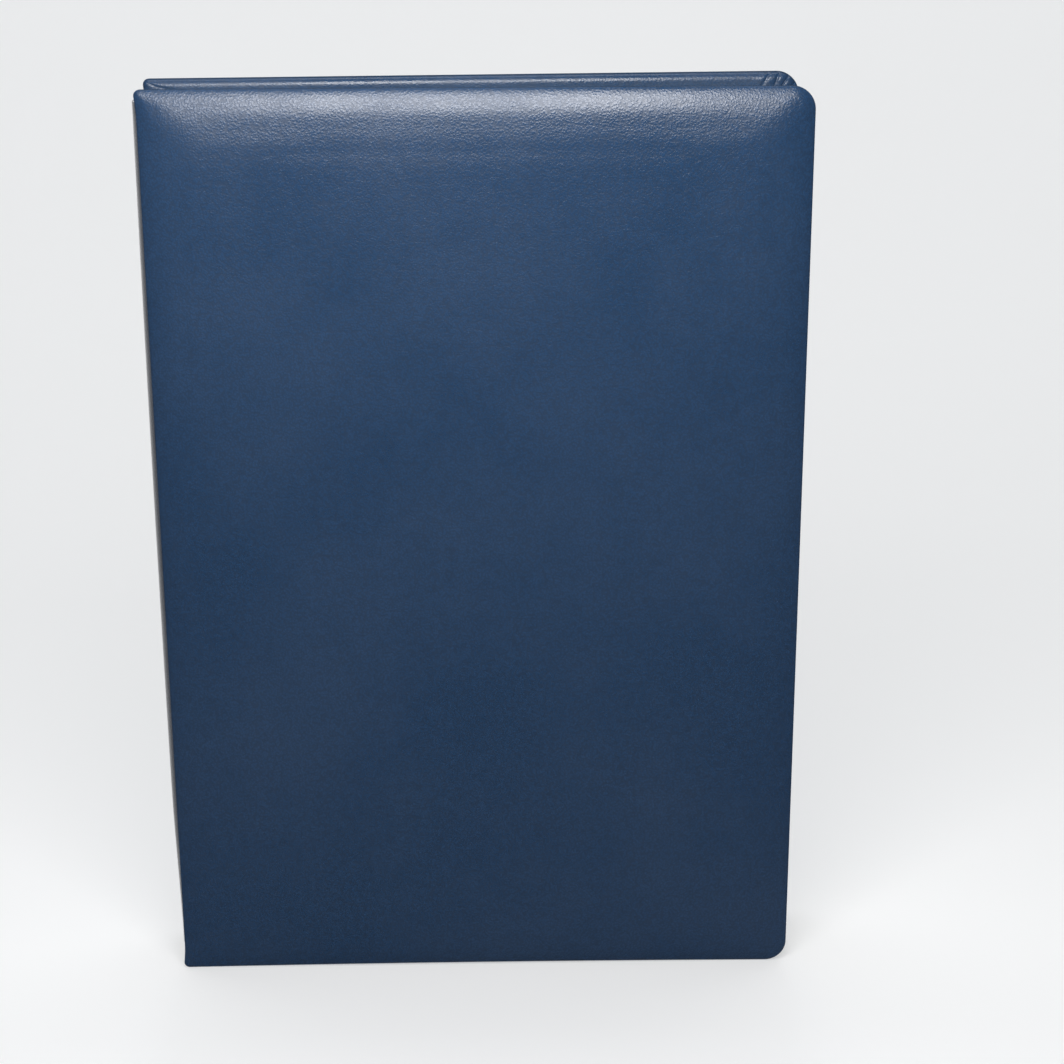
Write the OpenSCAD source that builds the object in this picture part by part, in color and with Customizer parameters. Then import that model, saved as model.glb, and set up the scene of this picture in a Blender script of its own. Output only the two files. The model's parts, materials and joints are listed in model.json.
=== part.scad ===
// A4 record book in padded covers, standing on the tail edges of its covers with both slightly ajar.
// X runs from the spine to the fore edge, Y from the front cover to the rear one, Z from tail to head.
// The book is the same either side of the plane Y = 0, so each rear piece is a mirrored front piece.

/* [Covers] */
// Height of a cover, from tail to head
cover_h = 310; // [300:1:330]
// Width of a cover, from its spine side to its fore edge
cover_w = 214; // [208:1:230]
// Radius of the two corners at the fore edge
fore_corner_r = 7.5; // [5:0.5:12]
// Radius of the two corners at the spine side
spine_corner_r = 2; // [1.5:0.5:4]
// Thickness of the board
board_t = 2.5; // [2:0.1:3]
// Thickness of the padding at its middle
foam_t = 4.4; // [3.5:0.1:5.5]
// Thickness of the leather
leather_t = 0.8; // [0.6:0.1:1]
// Width over which the padding rises from the edge
crown_run = 20; // [14:1:26]
// Width of the leather turned in over the board
turn_in_w = 16; // [14:1:22]
// Radius of the roll round a cover's inner edge
edge_r = 2.6; // [2.4:0.1:2.8]
// Angle that each cover stands open
ajar = 1.35; // [0.5:0.05:2.5]

/* [Spine] */
// Distance between the inner faces of the covers at the spine
spine_gap = 19.5; // [19:0.1:21.5]
// Distance that the spine leather bulges past the covers
spine_bulge = 3.3; // [2:0.1:3.5]
// Distance from the ends of the covers to the ends of the spine leather
spine_recess = 5; // [3:0.5:6]
// Distance from the covers' spine side out to the line that they turn about
hinge_out = 1.75; // [1.7:0.05:2.2]
// Width of the spine leather's tab glued under each pastedown
tab_w = 12; // [8:1:14]

/* [Leaves] */
// Height of a leaf
leaf_h = 297; // [270:1:297]
// Width of a leaf
leaf_w = 205; // [190:1:206]
// Number of sewn sections
section_count = 8; // [6:1:10]
// Thickness of all the sewn sections together
block_t = 13.6; // [12:0.1:13.6]
// Number of loose leaves between the sections and a flyleaf
loose_leaf_count = 3; // [3]

/* [Sewing] */
// Width of a sewing tape
tape_w = 14; // [10:1:18]
// Distance between the middles of two tapes
tape_pitch = 92; // [70:1:100]
// Thread radius
thread_r = 0.2; // [0.15:0.01:0.2]

/* [Hidden] */
gap = 0.05;
cover_t = 2 * leather_t + board_t + foam_t;
wall_top = edge_r + 1;
crown_power = 0.75;
crown_steps = 7;
roll_steps = 4;
board_inset = 2.3;

// the row's origin is midway between the bulge of the spine and the fore edge
spine_x = -(cover_w - spine_bulge) / 2;
hinge_x = spine_x - hinge_out;
hinge_y = spine_gap / 2;

// layers on a cover's inner face
tab_t = 0.45;
paste_t = 0.2;
paste_margin = 6;

// loose leaves all turn about one line beside each cover's hinge
sheet_t = 0.2;
sheet_pitch = 0.5;
sheet_axis_x = spine_x + 1.2;
sheet_axis_y = hinge_y - 0.25;
sheet_start = 1;
flyleaf_y = hinge_y - 0.95;
// share of the cover's turn that each sheet makes: the flyleaf, then the leaves from the cover inwards
sheet_turn = [0.96, 0.84, 0.6, 0.3];

// layers across the spine, from its leather in to the folds of the sections
spine_half = hinge_y - 1.05;
spine_r = (pow(spine_half, 2) + pow(spine_bulge, 2)) / (2 * spine_bulge);
spine_angle = asin(spine_half / spine_r);
lining_t = 0.3;
lining_x = 0.1;
lining_half = spine_half - 1.9;
mull_x = 0.45;
mull_half = spine_half - 1.1;
thread_x = 1.05;
tape_x = 1.3;
tape_t = 0.3;
tape_half = spine_half - 0.4;
fold_x = 1.7;
thread_over = 0.7;
leaf_low = (cover_h - leaf_h) / 2;
leaf_top = leaf_low + leaf_h;
section_t = block_t / section_count;
band_r = 1.25;
band_x = 2.4;
band_half = block_t / 2 - 0.2;
band_flag_h = 14;

SHEETS = ["flyleaf", for (i = [1:loose_leaf_count]) str("leaf_", i)];

// --- placing ---

// puts a piece on its side of the book
module on_side(side) {
    if (side == "front") children();
    else mirror([0, 1, 0]) children();
}

// stands up a cover piece that lies on its inner face, with its spine side on X = 0
module as_cover(side) {
    on_side(side)
        translate([hinge_x, -hinge_y, 0])
            rotate([0, 0, -ajar])
                translate([hinge_out, 0, 0])
                    rotate([90, 0, 0]) children();
}

// --- covers ---

// face of a cover, drawn in from its edge
module cover_outline(inset) {
    x1 = cover_w - inset;
    y1 = cover_h - inset;
    fore_r = max(fore_corner_r - inset, 0.8);
    inner_r = max(spine_corner_r - inset, 0.8);
    polygon([
        [inset + inner_r, inset], [x1 - fore_r, inset], [x1, inset + fore_r], [x1, y1 - fore_r],
        [x1 - fore_r, y1], [inset + inner_r, y1], [inset, y1 - inner_r], [inset, inset + inner_r]
    ]);
    for (y = [inset + inner_r, y1 - inner_r])
        translate([inset + inner_r, y]) circle(r = inner_r, $fn = 32);
    for (y = [inset + fore_r, y1 - fore_r])
        translate([x1 - fore_r, y]) circle(r = fore_r, $fn = 32);
}

// height of the padding's crown at a share of the way from the edge to the flat
function crown(share) = pow(1 - pow(1 - share, 2), crown_power);

// the whole padded cover, drawn in by a skin's thickness on every side
module padded_cover(skin) {
    roll = edge_r - skin;
    rise = cover_t - skin - wall_top - gap;
    levels = [
        for (i = [0:roll_steps])
            let (a = 90 * i / roll_steps) [skin + roll * (1 - sin(a)), skin + roll * (1 - cos(a))],
        for (i = [0:crown_steps])
            let (share = pow(i / crown_steps, 1.6)) [skin + crown_run * share, wall_top + rise * crown(share)]
    ];
    hull()
        for (level = levels)
            translate([0, 0, level[1]]) linear_extrude(gap) cover_outline(level[0]);
}

module cover_leather(side) {
    color("#2b3c57") as_cover(side) difference() {
        padded_cover(0);
        padded_cover(leather_t);
        translate([turn_in_w, turn_in_w, -1])
            cube([cover_w - 2 * turn_in_w, cover_h - 2 * turn_in_w, 1 + leather_t + gap]);
    }
}

// the padding lies on the board and wraps its edges
module cover_foam(side) {
    color("#d8d2bd") as_cover(side) difference() {
        padded_cover(leather_t + gap);
        translate([0, 0, -gap])
            linear_extrude(leather_t + board_t + 2 * gap) cover_outline(board_inset - gap);
    }
}

module cover_board(side) {
    color("#8a8072") as_cover(side)
        translate([0, 0, leather_t + gap])
            linear_extrude(board_t - gap) cover_outline(board_inset);
}

module pastedown(side) {
    color("#eae4d3") as_cover(side)
        translate([tab_w + paste_t, paste_margin, -gap - paste_t])
            cube([cover_w - tab_w - paste_t - paste_margin, cover_h - 2 * paste_margin, paste_t]);
}

module hinge_tab(side) {
    color("#2b3c57") as_cover(side)
        translate([0.3, spine_recess, -gap - tab_t])
            cube([tab_w - 0.3, cover_h - 2 * spine_recess, tab_t]);
}

// --- leaves ---

// a flyleaf (0) or a loose leaf (1 and up), turned by its share of the cover's angle
module sheet(side, i) {
    y = flyleaf_y - i * sheet_pitch;
    color("#f1ecdf") on_side(side)
        translate([sheet_axis_x, -sheet_axis_y, leaf_low])
            rotate([0, 0, -ajar * sheet_turn[i]])
                translate([sheet_start, sheet_axis_y - y - sheet_t / 2, 0])
                    cube([leaf_w - sheet_start, sheet_t, leaf_h]);
}

// a folded and sewn gathering, with its fold at the spine
module section(i) {
    y = -block_t / 2 + (i - 0.5) * section_t;
    r = section_t / 2 - gap / 5;
    color("#f4f0e4") translate([spine_x + fold_x + r, y, leaf_low]) {
        cylinder(r = r, h = leaf_h, $fn = 32);
        translate([0, -r, 0]) cube([leaf_w - r, 2 * r, leaf_h]);
    }
}

// --- spine ---

module spine_leather() {
    color("#57524e")
        translate([spine_x - spine_bulge + spine_r, 0, spine_recess])
            rotate([0, 0, 180 - spine_angle])
                rotate_extrude(angle = 2 * spine_angle, $fn = 96)
                    translate([spine_r - leather_t, 0])
                        square([leather_t, cover_h - 2 * spine_recess]);
}

// a flat layer glued across the spine
module spine_layer(x, half, thickness, low, height) {
    translate([spine_x + x, -half, low]) cube([thickness, 2 * half, height]);
}

module spine_lining() {
    color("#a58a63") spine_layer(lining_x, lining_half, lining_t, leaf_low, leaf_h);
}

module spine_mull() {
    color("#ded8c4") spine_layer(mull_x, mull_half, lining_t, leaf_low + 10, leaf_h - 20);
}

function tape_z(i) = cover_h / 2 + (i - 2) * tape_pitch;

module sewing_tape(i) {
    color("#efe9da") spine_layer(tape_x, tape_half, tape_t, tape_z(i) - tape_w / 2, tape_w);
}

// the thread leaves each section's fold above a tape, runs over the tape and goes back in below it
module sewing_thread() {
    reach = tape_w / 2 + thread_over;
    color("#f6f2e6")
        for (i = [1:3], s = [1:section_count])
            translate([spine_x + thread_x, -block_t / 2 + (s - 0.5) * section_t, tape_z(i)]) {
                translate([0, 0, -reach]) cylinder(r = thread_r, h = 2 * reach, $fn = 16);
                for (end = [-1, 1]) translate([0, 0, end * reach]) {
                    sphere(r = thread_r, $fn = 16);
                    rotate([0, 90, 0]) cylinder(r = thread_r, h = fold_x - thread_x - gap, $fn = 16);
                }
            }
}

// a rolled band on the end of the sections, with a flag glued down the spine
module end_band() {
    translate([spine_x, 0, leaf_top + band_r + gap]) {
        translate([band_x, band_half, 0]) rotate([90, 0, 0]) cylinder(r = band_r, h = 2 * band_half, $fn = 32);
        translate([thread_x - lining_t / 2, -band_half, -band_r / 2])
            cube([band_x - thread_x, 2 * band_half, band_r]);
        translate([thread_x - lining_t / 2, -band_half, -band_flag_h])
            cube([lining_t, 2 * band_half, band_flag_h]);
    }
}

module head_band() {
    color("#c9d3e0") end_band();
}

module tail_band() {
    color("#c9d3e0") translate([0, 0, cover_h]) mirror([0, 0, 1]) end_band();
}

for (side = ["front", "rear"]) {
    cover_leather(side);
    cover_foam(side);
    cover_board(side);
    pastedown(side);
    hinge_tab(side);
    for (i = [0:loose_leaf_count])
        sheet(side, i);
}
spine_leather();
spine_lining();
spine_mull();
for (i = [1:3])
    sewing_tape(i);
sewing_thread();
head_band();
tail_band();
for (i = [1:section_count])
    section(i);
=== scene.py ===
import json
import math

import bmesh
import bpy
import numpy as np
from mathutils import Matrix, Vector, noise


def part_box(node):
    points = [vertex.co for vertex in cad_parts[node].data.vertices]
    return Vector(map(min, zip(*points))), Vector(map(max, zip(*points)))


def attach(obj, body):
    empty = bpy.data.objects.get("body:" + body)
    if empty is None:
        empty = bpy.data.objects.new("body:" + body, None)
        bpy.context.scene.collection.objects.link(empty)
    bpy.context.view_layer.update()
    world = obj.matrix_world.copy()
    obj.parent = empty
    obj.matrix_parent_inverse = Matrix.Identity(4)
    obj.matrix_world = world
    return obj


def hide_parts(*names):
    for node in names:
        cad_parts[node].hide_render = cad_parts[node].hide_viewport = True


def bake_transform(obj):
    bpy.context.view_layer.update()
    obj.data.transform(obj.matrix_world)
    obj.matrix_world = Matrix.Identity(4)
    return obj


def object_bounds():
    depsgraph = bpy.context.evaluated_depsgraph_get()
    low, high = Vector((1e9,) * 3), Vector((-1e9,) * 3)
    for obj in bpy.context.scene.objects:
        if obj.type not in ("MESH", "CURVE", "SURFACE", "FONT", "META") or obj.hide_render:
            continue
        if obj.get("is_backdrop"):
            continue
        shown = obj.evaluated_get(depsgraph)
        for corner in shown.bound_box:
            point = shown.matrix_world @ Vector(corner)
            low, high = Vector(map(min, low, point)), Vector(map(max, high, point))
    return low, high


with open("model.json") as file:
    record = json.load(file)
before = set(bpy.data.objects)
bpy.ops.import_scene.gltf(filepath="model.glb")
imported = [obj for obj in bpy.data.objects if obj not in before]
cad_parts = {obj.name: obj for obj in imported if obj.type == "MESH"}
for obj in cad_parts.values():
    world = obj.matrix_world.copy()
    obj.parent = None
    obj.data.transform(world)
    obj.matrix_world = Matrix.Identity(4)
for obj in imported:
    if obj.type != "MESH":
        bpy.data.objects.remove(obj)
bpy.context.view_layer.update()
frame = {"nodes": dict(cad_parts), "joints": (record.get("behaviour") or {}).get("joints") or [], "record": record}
mm = 0.001
print("frame loaded:", len(frame["nodes"]), "nodes")


joints = {j["name"]: j for j in frame["joints"]}
turnShares = {c["joint"]: c["ratio"] for c in frame["record"]["behaviour"]["couplings"]}
rearNormal = next(m for m in frame["record"]["mounts"] if m["name"] == "rear_cover_face")["axis"]
ajar = math.atan2(-rearNormal[0], rearNormal[1])  # how far each cover stands open
sides = {"front": -1, "rear": 1}


def nodePoints(node):
    mesh = frame["nodes"][node].data
    flat = np.empty(len(mesh.vertices) * 3)
    mesh.vertices.foreach_get("co", flat)
    return flat.reshape(-1, 3) / mm


def swingFrame(side, node, joint, share):
    # axes of a flat piece that swings about a joint: u away from the spine, v up, w outwards
    turn = ajar * share
    pivot = np.array(joints[joint]["pos_m"]) / mm * [1, 1, 0]
    along = np.array([math.cos(turn), sides[side] * math.sin(turn), 0])
    outward = np.array([-math.sin(turn), sides[side] * math.cos(turn), 0])
    local = nodePoints(node) - pivot
    u, v, w = local @ along, local[:, 2], local @ outward
    return {
        "pivot": pivot, "along": along, "outward": outward,
        "u": (u.min(), u.max()), "v": (v.min(), v.max()), "w": (w.min(), w.max()),
    }


def place(swing, u, v, w):
    # points in metres from u, v, w in mm, with u and w counted from the pivot
    u, v, w = np.broadcast_arrays(u, v, w)
    points = swing["pivot"] + u[..., None] * swing["along"] + w[..., None] * swing["outward"]
    points[..., 2] += v
    return points.reshape(-1, 3) * mm


covers = {s: swingFrame(s, f"{s}_cover_leather", f"{s}_cover_hinge", 1) for s in sides}
spineLow, spineHigh = (np.array(p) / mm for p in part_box("spine_leather"))
blockLow, blockHigh = (np.array(p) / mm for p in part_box("section_1"))
spineX = blockLow[0] - 1.7  # plane of the covers' spine sides, 1.7 outside the folds
coverW = np.ptp(covers["front"]["u"])
coverH = np.ptp(covers["front"]["v"])
coverT = covers["front"]["w"][1]


def smoothStep(t):
    t = np.clip(t, 0, 1)
    return t * t * (3 - 2 * t)


def makePiece(name, points, faces, material):
    mesh = bpy.data.meshes.new(name)
    mesh.from_pydata(np.asarray(points, float).tolist(), [], faces)
    mesh.polygons.foreach_set("use_smooth", [True] * len(mesh.polygons))
    mesh.materials.append(material)
    mesh.update()
    piece = bpy.data.objects.new(name, mesh)
    bpy.context.scene.collection.objects.link(piece)
    return piece


def bake(piece):
    # turns a piece's modifiers into plain mesh
    evaluated = piece.evaluated_get(bpy.context.evaluated_depsgraph_get())
    mesh = bpy.data.meshes.new_from_object(evaluated)
    piece.modifiers.clear()
    old = piece.data
    piece.data = mesh
    bpy.data.meshes.remove(old)
    return piece


def gridFaces(rows, columns, start=0, flip=False):
    index = start + np.arange(rows * columns).reshape(rows, columns)
    a, b, c, d = index[:-1, :-1], index[:-1, 1:], index[1:, 1:], index[1:, :-1]
    order = (a, d, c, b) if flip else (a, b, c, d)
    return np.stack(order, -1).reshape(-1, 4).tolist()


def pointUp(piece):
    # turns every face outwards
    work = bmesh.new()
    work.from_mesh(piece.data)
    bmesh.ops.recalc_face_normals(work, faces=work.faces)
    work.to_mesh(piece.data)
    work.free()


def solid(piece, thickness):
    rim = piece.modifiers.new("thickness", "SOLIDIFY")
    rim.thickness = thickness * mm
    rim.offset = -1
    rim.use_even_offset = False
    return bake(piece)


def newMaterial(name, color, roughness):
    material = bpy.data.materials.new(name)
    material.use_nodes = True
    tree = material.node_tree
    shader = tree.nodes["Principled BSDF"]
    shader.inputs["Base Color"].default_value = (*color, 1)
    shader.inputs["Roughness"].default_value = roughness
    return material, tree, shader


def addNode(tree, kind, links=None, **values):
    node = tree.nodes.new(kind)
    for name, value in values.items():
        setattr(node, name, value)
    for socket, source in (links or {}).items():
        target = node.inputs[socket]
        if isinstance(source, bpy.types.NodeSocket):
            tree.links.new(source, target)
        else:
            target.default_value = source
    return node


def objectPoints(tree, scale=(1, 1, 1), turn=(0, 0, 0)):
    source = addNode(tree, "ShaderNodeTexCoord").outputs["Object"]
    links = {"Vector": source, "Scale": scale, "Rotation": turn}
    return addNode(tree, "ShaderNodeMapping", links).outputs["Vector"]


def noiseOf(tree, points, scale, detail=3.0, rough=0.55, distortion=0.0):
    links = {"Vector": points, "Scale": scale, "Detail": detail, "Roughness": rough, "Distortion": distortion}
    return addNode(tree, "ShaderNodeTexNoise", links).outputs["Fac"]


def mathOf(tree, operation, *values, clamp=False):
    links = dict(enumerate(values))
    return addNode(tree, "ShaderNodeMath", links, operation=operation, use_clamp=clamp).outputs[0]


def vectorOf(tree, operation, first, second):
    # the second is a number where the operation is SCALE
    links = {0: first, "Scale" if operation == "SCALE" else 1: second}
    return addNode(tree, "ShaderNodeVectorMath", links, operation=operation).outputs[0]


def rangeOf(tree, value, low, high, toLow=0.0, toHigh=1.0):
    links = {"Value": value, "From Min": low, "From Max": high, "To Min": toLow, "To Max": toHigh}
    return addNode(tree, "ShaderNodeMapRange", links, interpolation_type="SMOOTHSTEP").outputs["Result"]


def mixColors(tree, share, first, second):
    node = addNode(tree, "ShaderNodeMix", data_type="RGBA")
    for socket, source in ((0, share), (6, first), (7, second)):
        if isinstance(source, bpy.types.NodeSocket):
            tree.links.new(source, node.inputs[socket])
        else:
            node.inputs[socket].default_value = (*source, 1) if socket else source
    return node.outputs[2]


def bumpOf(tree, height, depth, before=None):
    links = {"Height": height, "Distance": depth, "Strength": 1.0}
    if before is not None:
        links["Normal"] = before
    return addNode(tree, "ShaderNodeBump", links).outputs["Normal"]


leatherette = {
    "dark": (0.010, 0.036, 0.088), "light": (0.016, 0.050, 0.120),
    "roughness": 0.285, "specular": 0.62,
    "pebble": 0.00075, "pebbleDepth": 0.000034, "wander": 0.0011,
    "wrinkle": 0.0015, "wrinkleDepth": 0.000013,
}


def leatherMaterial(name, sizes, depth=1.0):
    material, tree, shader = newMaterial(name, sizes["dark"], sizes["roughness"])
    shader.inputs["Specular IOR Level"].default_value = sizes["specular"]
    points = objectPoints(tree)

    # tone drifts slowly over the hide at random; the fine noise that raises the grain also tints it, so its raised
    # tops are painted lighter and its hollows darker, as painted shade
    drift = noiseOf(tree, points, 14.0, 4.0)
    fine = noiseOf(tree, points, 420.0, 3.0)
    toneAndGrainShade = mathOf(tree, "ADD", mathOf(tree, "MULTIPLY", drift, 0.5), mathOf(tree, "MULTIPLY", fine, 0.5))

    # rounded pebbles between fine furrows
    links = {"Vector": points, "Scale": 260.0, "Detail": 2.0}
    wander = addNode(tree, "ShaderNodeTexNoise", links).outputs["Color"]
    shift = vectorOf(tree, "SCALE", vectorOf(tree, "SUBTRACT", wander, (0.5, 0.5, 0.5)), sizes["wander"])
    moved = vectorOf(tree, "ADD", points, shift)
    cells = addNode(
        tree, "ShaderNodeTexVoronoi",
        {"Vector": moved, "Scale": 1 / sizes["pebble"], "Randomness": 1.0, "Smoothness": 0.4},
        feature="SMOOTH_F1",
    ).outputs["Distance"]
    pebbles = rangeOf(tree, cells, 0.15, 0.75, 1.0, 0.0)

    # long shallow wrinkles that come and go
    slanted = objectPoints(tree, (0.55, 0.55, 1.0), (0.0, math.radians(24), 0.0))
    folds = noiseOf(tree, slanted, 1 / sizes["wrinkle"], 3.0, 0.6, 1.2)
    ridge = mathOf(tree, "ABSOLUTE", mathOf(tree, "SUBTRACT", folds, 0.5))
    creases = rangeOf(tree, ridge, 0.0, 0.09)
    where = rangeOf(tree, noiseOf(tree, points, 22.0, 2.0), 0.3, 0.56)
    wrinkles = mathOf(tree, "MULTIPLY", mathOf(tree, "SUBTRACT", 1.0, creases), where)

    normal = bumpOf(tree, wrinkles, -sizes["wrinkleDepth"] * depth)
    normal = bumpOf(tree, pebbles, sizes["pebbleDepth"] * depth, normal)
    normal = bumpOf(tree, fine, sizes["pebbleDepth"] * 0.5 * depth, normal)
    tree.links.new(normal, shader.inputs["Normal"])

    # random drift plus painted shade of the fine grain, spread between the dark and light tones
    shade = rangeOf(tree, toneAndGrainShade, 0.2, 0.8)
    color = mixColors(tree, shade, sizes["dark"], sizes["light"])
    # painted shade: the furrows between the pebbles are mixed toward a darker copy of the dark tone; the same
    # furrow mask also roughens them
    furrow = mathOf(tree, "MULTIPLY", mathOf(tree, "SUBTRACT", 1.0, pebbles), 0.45)
    furrowShadeColor = tuple(c * 0.55 for c in sizes["dark"])
    tree.links.new(mixColors(tree, furrow, color, furrowShadeColor), shader.inputs["Base Color"])
    gloss = rangeOf(tree, drift, 0.3, 0.7, sizes["roughness"] - 0.05, sizes["roughness"] + 0.06)
    matt = mathOf(tree, "ADD", gloss, mathOf(tree, "MULTIPLY", furrow, 0.25))
    tree.links.new(matt, shader.inputs["Roughness"])
    return material


spineTone = {
    **leatherette, "dark": (0.034, 0.043, 0.064), "light": (0.05, 0.059, 0.084),
    "roughness": 0.5, "pebble": 0.0007,
}
coverLeather = leatherMaterial("navyLeatherette", leatherette)
spineLeather = leatherMaterial("spineLeatherette", spineTone, 0.7)
spineShader = spineLeather.node_tree.nodes["Principled BSDF"].inputs
spineShader["Sheen Weight"].default_value = 0.6  # rubbed, so it greys where it turns away
spineShader["Sheen Roughness"].default_value = 0.35


def paperMaterial(name, color, roughness=0.85, grain=900.0, depth=0.00001):
    material, tree, shader = newMaterial(name, color, roughness)
    shader.inputs["Specular IOR Level"].default_value = 0.2
    points = objectPoints(tree)
    fibre = noiseOf(tree, points, grain, 4.0, 0.7)
    cloud = noiseOf(tree, points, 30.0, 3.0)
    warm = tuple(c * f for c, f in zip(color, (0.97, 0.96, 0.93)))
    tree.links.new(mixColors(tree, rangeOf(tree, cloud, 0.3, 0.75), color, warm), shader.inputs["Base Color"])
    tree.links.new(bumpOf(tree, fibre, depth), shader.inputs["Normal"])
    return material, tree, shader


def pageMap(piece):
    # keeps each sheet's own flat place, across and up in metres, so that its ruling turns with it
    mesh = piece.data
    corners = np.empty(len(mesh.loops), int)
    mesh.loops.foreach_get("vertex_index", corners)
    flat = np.empty(len(mesh.vertices) * 3)
    mesh.vertices.foreach_get("co", flat)
    layer = mesh.uv_layers.get("page") or mesh.uv_layers.new(name="page")
    layer.data.foreach_set("uv", flat.reshape(-1, 3)[corners][:, [0, 2]].ravel())


# ruled rows and columns, as a record book's page has, with no words
ledger = {
    "row": 0.0088, "line": 0.00022, "columns": (14, 34, 58, 76, 94, 112, 130, 148, 166), "headRows": 3,
    "headMargin": 0.022, "tailMargin": 0.016, "left": 14, "right": 196,
    "tint": (0.56, 0.66, 0.74), "ink": (0.20, 0.30, 0.42),
}


def ledgerMaterial(name):
    material, tree, shader = paperMaterial(name, (0.80, 0.775, 0.70))
    source = addNode(tree, "ShaderNodeUVMap", uv_map="page").outputs["UV"]
    split = addNode(tree, "ShaderNodeSeparateXYZ", {0: source})
    top = blockHigh[2] * mm - ledger["headMargin"]
    low = blockLow[2] * mm + ledger["tailMargin"]
    left = (spineX + ledger["left"]) * mm
    right = (spineX + ledger["right"]) * mm
    across, up = split.outputs["X"], split.outputs["Y"]
    down = mathOf(tree, "DIVIDE", mathOf(tree, "SUBTRACT", top, up), ledger["row"])
    near = mathOf(tree, "PINGPONG", down, 0.5)
    marks = mathOf(tree, "LESS_THAN", near, ledger["line"] / ledger["row"] / 2)
    for column in ledger["columns"]:
        gap = mathOf(tree, "ABSOLUTE", mathOf(tree, "SUBTRACT", across, left + column * mm))
        marks = mathOf(tree, "MAXIMUM", marks, mathOf(tree, "LESS_THAN", gap, ledger["line"] / 2))
    head = mathOf(tree, "LESS_THAN", down, float(ledger["headRows"]))
    inside = mathOf(tree, "GREATER_THAN", across, left)
    inside = mathOf(tree, "MULTIPLY", inside, mathOf(tree, "LESS_THAN", across, right))
    inside = mathOf(tree, "MULTIPLY", inside, mathOf(tree, "LESS_THAN", up, top + 0.0001))
    inside = mathOf(tree, "MULTIPLY", inside, mathOf(tree, "GREATER_THAN", up, low))
    plain = shader.inputs["Base Color"].links[0].from_socket
    tint = mathOf(tree, "MULTIPLY", mathOf(tree, "MULTIPLY", head, inside), 0.75)
    ink = mathOf(tree, "MULTIPLY", mathOf(tree, "MULTIPLY", marks, inside), 0.8)
    ruled = mixColors(tree, ink, mixColors(tree, tint, plain, ledger["tint"]), ledger["ink"])
    tree.links.new(ruled, shader.inputs["Base Color"])
    return material


endpaper, _, _ = paperMaterial("creamEndpaper", (0.76, 0.72, 0.62), 0.8, 700.0, 0.000015)
leafPaper, _, _ = paperMaterial("leafPaper", (0.80, 0.775, 0.70))
ledgerPaper = ledgerMaterial("ledgerPaper")


def wovenMaterial(name, color, pitch, depth, roughness=0.9):
    # a plain weave in the plane that the cloth lies in
    material, tree, shader = newMaterial(name, color, roughness)
    shader.inputs["Specular IOR Level"].default_value = 0.15
    source = addNode(tree, "ShaderNodeTexCoord").outputs["Object"]
    split = addNode(tree, "ShaderNodeSeparateXYZ", {0: source})
    warp = mathOf(tree, "SINE", mathOf(tree, "MULTIPLY", split.outputs["Y"], math.tau / pitch))
    weft = mathOf(tree, "SINE", mathOf(tree, "MULTIPLY", split.outputs["Z"], math.tau / pitch))
    weave = mathOf(tree, "MULTIPLY", mathOf(tree, "ADD", mathOf(tree, "MULTIPLY", warp, weft), 1.0), 0.5)
    fuzz = noiseOf(tree, source, 3000.0, 2.0)
    # painted shade: the weave's low cells, where the bump sinks, are mixed toward a darker copy of the cloth's
    # colour
    dark = tuple(c * 0.62 for c in color)
    tree.links.new(mixColors(tree, rangeOf(tree, weave, 0.15, 0.7), dark, color), shader.inputs["Base Color"])
    height = mathOf(tree, "ADD", weave, mathOf(tree, "MULTIPLY", fuzz, 0.4))
    tree.links.new(bumpOf(tree, height, depth), shader.inputs["Normal"])
    return material


def speckledMaterial(name, color, spots, scale, depth):
    material, tree, shader = newMaterial(name, color, 0.95)
    shader.inputs["Specular IOR Level"].default_value = 0.1
    points = objectPoints(tree)
    flecks = rangeOf(tree, noiseOf(tree, points, scale, 5.0, 0.75), 0.4, 0.65)
    tree.links.new(mixColors(tree, flecks, color, spots), shader.inputs["Base Color"])
    tree.links.new(bumpOf(tree, flecks, depth), shader.inputs["Normal"])
    return material


mullCloth = wovenMaterial("mullCloth", (0.70, 0.67, 0.56), 0.0016, 0.00015)
linenTape = wovenMaterial("linenTape", (0.76, 0.72, 0.60), 0.0008, 0.0001)
waxedThread = wovenMaterial("waxedThread", (0.80, 0.77, 0.68), 0.0005, 0.00005, 0.6)
kraftPaper = speckledMaterial("kraftPaper", (0.40, 0.27, 0.15), (0.31, 0.20, 0.11), 1400.0, 0.00002)
millboard = speckledMaterial("millboard", (0.25, 0.23, 0.20), (0.36, 0.34, 0.30), 900.0, 0.00005)
openFoam = speckledMaterial("openFoam", (0.74, 0.70, 0.56), (0.60, 0.56, 0.42), 1800.0, 0.0003)
print("materials made")


wrap = {
    "foreCorner": 7.5, "spineCorner": 2.0, "roll": 2.6, "wallTop": 3.6,
    "crownRun": 20.0, "crownPower": 0.75, "turnIn": 16.0, "leather": 0.8,
    "wave": 0.14, "waveLength": 46.0, "ridgeSoftness": 6.5, "pullIn": 0.55,
    "tip": 0.6, "tipReach": 5.0,
    "pleatPitch": 2.7, "pleatReach": 10.5, "pleatHeight": 0.5, "pleatDepth": 0.42, "pleatLean": 0.085,
    "furrow": 0.3, "pleatEase": 3.5, "fadeFrom": 3.4, "fadeRun": 2.6,
    "mitreDepth": 0.6, "mitreWidth": 0.24, "mitreStep": 0.3, "mitreRun": 5.2, "mitreEnd": 7,
}


def edgeLines(length):
    # close lines near the edge, about 3 mm apart past the crown
    inner = 22.0
    near = [0, 0.04, 0.12, 0.25, 0.42, 0.62, 0.85, 1.1, 1.4, 1.7, 2.0]
    corner = np.arange(2.3, 13.6, 0.36)
    slope = np.linspace(corner[-1], inner, 9)[1:]
    start = np.concatenate([near, corner, slope])
    middle = np.linspace(inner, length - inner, int((length - 2 * inner) / 3.0))[1:-1]
    return np.concatenate([start, middle, length - start[::-1]])


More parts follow.
